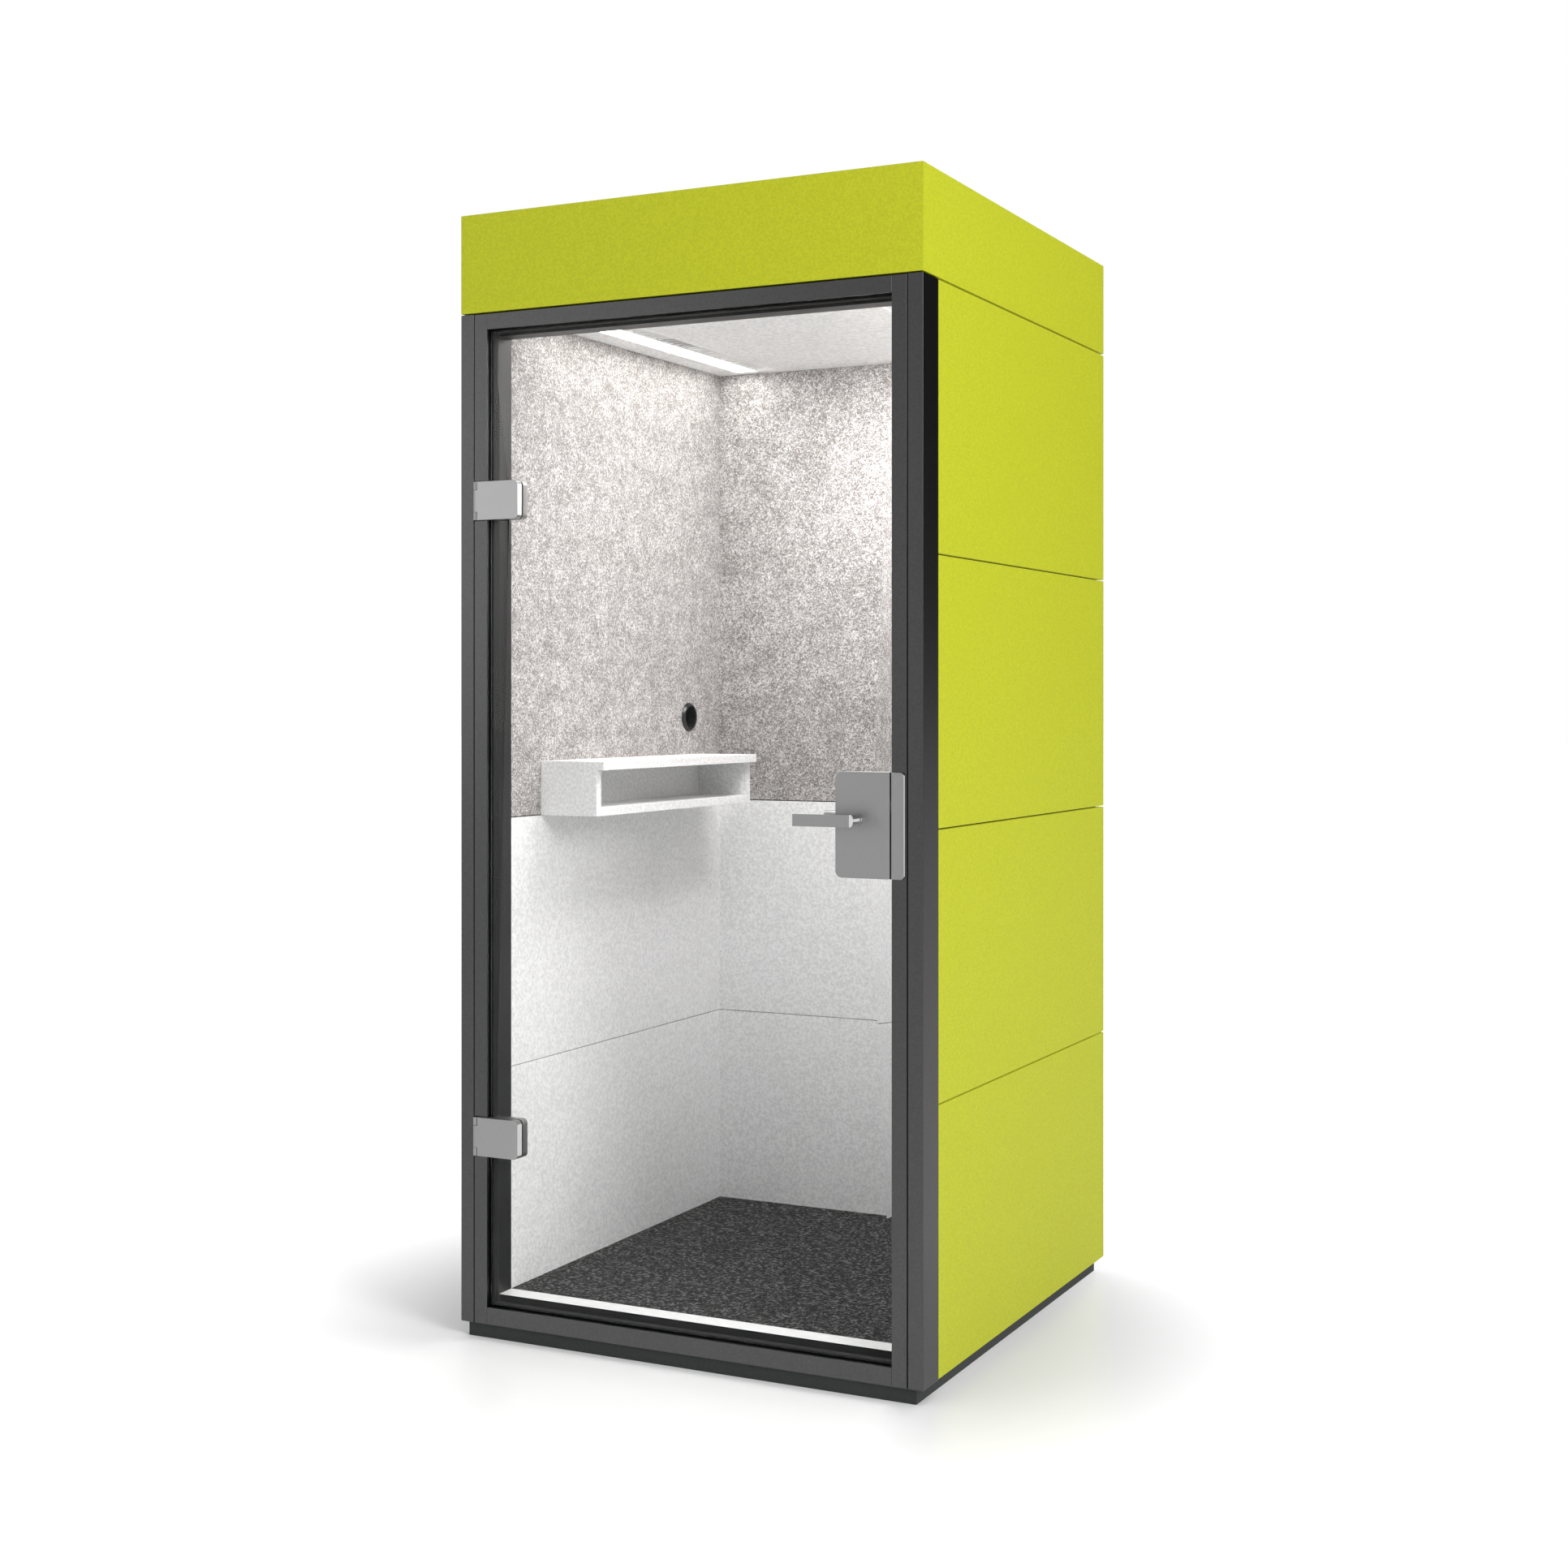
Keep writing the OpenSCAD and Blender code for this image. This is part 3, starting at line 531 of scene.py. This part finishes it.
class BOOTH_OT_front_frame(bpy.types.Operator):
    """Corner posts, door frame, jamb liner and door seal"""

    bl_idname = "booth.front_frame"
    bl_label = "Front frame"

    def execute(self, context):
        edge = context.scene.booth_sizes.tube_edge
        for side in SIDES:
            rounded_node("corner_post_" + side, edge)
            rounded_node("door_frame_" + side, edge * 0.7)
        for part in ("head", "sill"):
            rounded_node("door_frame_" + part, edge * 0.7)
        rounded_node("jamb_liner", edge * 0.5)
        rounded_node("door_seal", edge * 1.5)
        return {"FINISHED"}


class BOOTH_OT_outer_panels(bpy.types.Operator):
    """Folded steel cassettes of the outer walls"""

    bl_idname = "booth.outer_panels"
    bl_label = "Outer panels"

    def execute(self, context):
        edge = context.scene.booth_sizes.panel_edge
        for wall in WALLS:
            rounded_node("outer_panels_" + wall, edge).visible_diffuse = False
        return {"FINISHED"}


class BOOTH_OT_roof(bpy.types.Operator):
    """Roof fascias and the slotted roof lid"""

    bl_idname = "booth.roof"
    bl_label = "Roof"

    def execute(self, context):
        edge = context.scene.booth_sizes.panel_edge / 3
        for wall in SIDES + ("front", "rear"):
            rounded_node("fascia_" + wall, edge, 2)
        rounded_node("roof_lid", edge, 2)
        return {"FINISHED"}


class BOOTH_OT_linings(bpy.types.Operator):
    """Felt, white linings and the ceiling"""

    bl_idname = "booth.linings"
    bl_label = "Linings"

    def execute(self, context):
        sizes = context.scene.booth_sizes
        for wall in WALLS:
            rounded_node("felt_" + wall, sizes.felt_edge)
            rounded_node("white_lining_" + wall, sizes.board_edge)
        rounded_node("ceiling_panel", sizes.board_edge)
        return {"FINISHED"}


class BOOTH_OT_lights_and_vents(bpy.types.Operator):
    """Lit opal diffusers, their trays and the vent grilles"""

    bl_idname = "booth.lights_and_vents"
    bl_label = "Lights and vents"

    def execute(self, context):
        edge = context.scene.booth_sizes.board_edge
        rounded_node("light_diffusers", edge)
        rounded_node("vent_grilles", edge / 3, 2)
        paint_node("light_trays")
        return {"FINISHED"}


class BOOTH_OT_shelf(bpy.types.Operator):
    """Wall shelf with its open compartment"""

    bl_idname = "booth.shelf"
    bl_label = "Shelf"

    def execute(self, context):
        edge = context.scene.booth_sizes.board_edge
        for part in ("top", "bottom", "ends", "back"):
            rounded_node("shelf_" + part, edge)
        return {"FINISHED"}


class BOOTH_OT_cable_grommet(bpy.types.Operator):
    """Black grommet where the cables leave the wall"""

    bl_idname = "booth.cable_grommet"
    bl_label = "Cable grommet"

    def execute(self, context):
        rounded_node("cable_grommet", context.scene.booth_sizes.board_edge)
        return {"FINISHED"}


class BOOTH_OT_glass_door(bpy.types.Operator):
    """Clear pane with ground arrises and green polished edges"""

    bl_idname = "booth.glass_door"
    bl_label = "Glass door"

    def execute(self, context):
        bm = merged_copy("glass_door")
        round_edges(bm, context.scene.booth_sizes.glass_arris, 1)
        for face in bm.faces:
            face.material_index = 0 if abs(face.normal.y) > 0.99 else 1
        add_piece("glass_pane", mesh_from(bm, "glass_pane"), "glass_door",
                  [finish_of("door_glass"), bpy.data.materials["glass_edge"]])
        return {"FINISHED"}


class BOOTH_OT_hinges(bpy.types.Operator):
    """Glass hinges with their knuckles, pins and clamp screws"""

    bl_idname = "booth.hinges"
    bl_label = "Hinges"

    def execute(self, context):
        edge = context.scene.booth_sizes.metal_edge
        # the right-hand ends of the front clamps get a painted highlight
        paint_right_end_highlights(rounded_node("hinge_clamps_front", edge))
        rounded_node("hinge_clamps_back", edge)
        rounded_node("hinge_frame_leaves", edge / 3)
        rounded_node("hinge_pins", edge / 2)
        rounded_node("clamp_screws", edge / 2)
        return {"FINISHED"}


def round_elbow(bm):
    """Rounds the upright edge where the lever's bar turns into its neck."""
    rose_overhang = 0.002
    shortest = 0.018
    elbow = max(v.co.x for v in bm.verts) - rose_overhang
    upright = [e for e in bm.edges
               if min(v.co.x for v in e.verts) > elbow and e.calc_length() > shortest
               and abs(e.verts[0].co.z - e.verts[1].co.z) > 0.99 * e.calc_length()
               and e.calc_face_angle(0.0) > 1.0]
    bmesh.ops.bevel(bm, geom=upright, offset=bpy.context.scene.booth_sizes.lever_elbow,
                    offset_type="OFFSET", segments=6, profile=0.5, affect="EDGES",
                    clamp_overlap=True, material=-1)


class BOOTH_OT_lock(bpy.types.Operator):
    """Lock cases, strike plate, levers, spindle and latch bolt"""

    bl_idname = "booth.lock"
    bl_label = "Lock"

    def execute(self, context):
        edge = context.scene.booth_sizes.metal_edge
        for part in ("lock_case_front", "lock_case_back"):
            rounded_node(part, edge)
        # the right-hand ends of the strike plate and the levers get a painted highlight
        paint_right_end_highlights(rounded_node("strike_plate", edge))
        for part in ("lever_outside", "lever_inside"):
            paint_right_end_highlights(rounded_node(part, edge, before=round_elbow))
        rounded_node("latch_bolt", edge / 2)
        rounded_node("lock_screws", edge / 2)
        paint_node("spindle")
        return {"FINISHED"}


class BOOTH_OT_hidden_works(bpy.types.Operator):
    """Wall cores, roof curb, ceiling deck, fans, lamp driver and mains inlet"""

    bl_idname = "booth.hidden_works"
    bl_label = "Hidden works"

    def execute(self, context):
        for node in ("wall_core_left", "wall_core_right", "wall_core_rear", "roof_curb",
                     "ceiling_deck", "led_driver"):
            paint_node(node)
        edge = context.scene.booth_sizes.board_edge
        rounded_node("fan_housings", edge)
        for side in SIDES:
            rounded_node("fan_impeller_" + side, edge / 2)
        rounded_node("power_inlet", edge)
        return {"FINISHED"}


CHEST = (0.0, 0.0, 1.1)
KEY_PLACE, KEY_SIZE = (4.2, -2.4, 3.0), (1.6, 1.6)
SIDE_PLACE, SIDE_SIZE = (-4.4, -6.0, 2.3), (2.8, 2.4)
CABIN_PLACE, CABIN_TARGET, CABIN_SIZE = (0.18, 0.0, 2.03), (0.14, 0.15, 0.4), (0.45, 0.7)
OVERHEAD_SPREAD, OVERHEAD_TILT = 100.0, (-22.0, 24.0, 0.0)
CAMERA_PLACE, CAMERA_TURN = (1.9955, -4.1083, 1.2755), (90.0, 0.0, 26.328)
FLOOR_HALF = 60.0
# the floor's painted glow grows away from this point, just in front of the door
LIFT_CENTRE, LIFT_FROM, LIFT_TO = (0.05, -0.28, 0.0), 0.5, 1.35


def aim(obj, target):
    """Turns a lamp to face a point."""
    obj.rotation_euler = (Vector(target) - obj.location).to_track_quat("-Z", "Y").to_euler()


def soft_box(name, place, target, size, watts):
    """A soft studio lamp."""
    lamp = bpy.data.lights.new(name, "AREA")
    lamp.shape = "RECTANGLE"
    lamp.size, lamp.size_y = size
    lamp.energy = watts
    box = bpy.data.objects.new(name, lamp)
    bpy.context.scene.collection.objects.link(box)
    box.location = place
    box.visible_camera = False
    box.visible_transmission = False
    aim(box, target)
    return box


class BOOTH_OT_stage(bpy.types.Operator):
    """White floor, soft studio lamps and the camera"""

    bl_idname = "booth.stage"
    bl_label = "Stage"

    def execute(self, context):
        scene = context.scene
        light = scene.booth_light
        self.lay_floor(scene, light.glow)
        self.light_room(scene, light.room)
        soft_box("key_light", KEY_PLACE, CHEST, KEY_SIZE, light.key)
        soft_box("side_light", SIDE_PLACE, CHEST, SIDE_SIZE, light.side)
        soft_box("cabin_light", CABIN_PLACE, CABIN_TARGET, CABIN_SIZE, light.cabin)
        overhead = bpy.data.lights.new("top_light", "SUN")
        overhead.energy = light.top
        overhead.angle = math.radians(OVERHEAD_SPREAD)
        lit_ceiling = bpy.data.objects.new("top_light", overhead)
        lit_ceiling.visible_glossy = False
        scene.collection.objects.link(lit_ceiling)
        lit_ceiling.rotation_euler = [math.radians(turn) for turn in OVERHEAD_TILT]
        self.place_camera(scene)
        scene.view_settings.view_transform = "Standard"
        scene.view_settings.look = "None"
        return {"FINISHED"}

    def lay_floor(self, scene, glow):
        bm = bmesh.new()
        bmesh.ops.create_grid(bm, x_segments=4, y_segments=4, size=FLOOR_HALF)
        mesh = bpy.data.meshes.new("studio_floor")
        bm.to_mesh(mesh)
        bm.free()
        mesh.materials.append(studio_floor("studio_floor", glow))
        floor = bpy.data.objects.new("studio_floor", mesh)
        scene.collection.objects.link(floor)

    def light_room(self, scene, strength):
        """A white backdrop; what surfaces reflect is a dim room, darker behind on the right."""
        world = bpy.data.worlds.new("studio")
        scene.world = world
        world.use_nodes = True
        tree = world.node_tree
        tree.nodes.clear()
        towards = add_node(tree, "ShaderNodeTexCoord").outputs["Generated"]
        dark_corner = add_node(tree, "ShaderNodeVectorMath", {0: towards, 1: (0.6, 0.8, 0.0)},
                               operation="DOT_PRODUCT")
        fall_off = add_node(tree, "ShaderNodeMapRange", {
            "Value": dark_corner.outputs["Value"], "From Min": 0.1, "From Max": 0.8,
            "To Min": strength, "To Max": 0.02,
        }, interpolation_type="SMOOTHSTEP")
        seen = add_node(tree, "ShaderNodeLightPath").outputs["Is Camera Ray"]
        dim = add_node(tree, "ShaderNodeBackground", {"Strength": fall_off.outputs["Result"]})
        white = add_node(tree, "ShaderNodeBackground", {"Strength": 1.0})
        for backdrop in (dim, white):
            backdrop.inputs["Color"].default_value = linear("#FFFFFF")
        both = add_node(tree, "ShaderNodeMixShader",
                        {0: seen, 1: dim.outputs[0], 2: white.outputs[0]})
        add_node(tree, "ShaderNodeOutputWorld", {"Surface": both.outputs[0]})

    def place_camera(self, scene):
        """Eye height 1.28 m, level, a little to the right of the door."""
        data = bpy.data.cameras.new("camera")
        data.sensor_width = 36.0
        data.lens = 49.28
        data.shift_y = -0.0532
        data.clip_end = 200.0
        camera = bpy.data.objects.new("camera", data)
        scene.collection.objects.link(camera)
        camera.location = CAMERA_PLACE
        camera.rotation_euler = [math.radians(turn) for turn in CAMERA_TURN]
        scene.camera = camera


# ---- panel and registration ----

OPERATORS = (
    BOOTH_OT_finishes,
    BOOTH_OT_base,
    BOOTH_OT_carpet,
    BOOTH_OT_front_frame,
    BOOTH_OT_outer_panels,
    BOOTH_OT_roof,
    BOOTH_OT_linings,
    BOOTH_OT_lights_and_vents,
    BOOTH_OT_shelf,
    BOOTH_OT_cable_grommet,
    BOOTH_OT_glass_door,
    BOOTH_OT_hinges,
    BOOTH_OT_lock,
    BOOTH_OT_hidden_works,
    BOOTH_OT_stage,
)
SETTINGS = {"booth_colours": BoothColours, "booth_sizes": BoothSizes, "booth_light": BoothLight}


class BOOTH_PT_panel(bpy.types.Panel):
    """Settings and steps of the phone booth"""

    bl_idname = "BOOTH_PT_panel"
    bl_label = "Phone booth"
    bl_space_type = "VIEW_3D"
    bl_region_type = "UI"
    bl_category = "Booth"

    def draw(self, context):
        for name in SETTINGS:
            group = getattr(context.scene, name)
            box = self.layout.box()
            for prop in group.bl_rna.properties:
                if prop.identifier not in ("rna_type", "name"):
                    box.prop(group, prop.identifier)
        for operator in OPERATORS:
            self.layout.operator(operator.bl_idname)


def register():
    for cls in (*SETTINGS.values(), *OPERATORS, BOOTH_PT_panel):
        bpy.utils.register_class(cls)
    for name, cls in SETTINGS.items():
        setattr(bpy.types.Scene, name, bpy.props.PointerProperty(type=cls))


def unregister():
    for name in SETTINGS:
        delattr(bpy.types.Scene, name)
    for cls in reversed((*SETTINGS.values(), *OPERATORS, BOOTH_PT_panel)):
        bpy.utils.unregister_class(cls)


def main():
    """Builds the whole booth."""
    register()
    for operator in OPERATORS:
        group, name = operator.bl_idname.split(".")
        getattr(getattr(bpy.ops, group), name)()


if __name__ == "__main__":
    main()
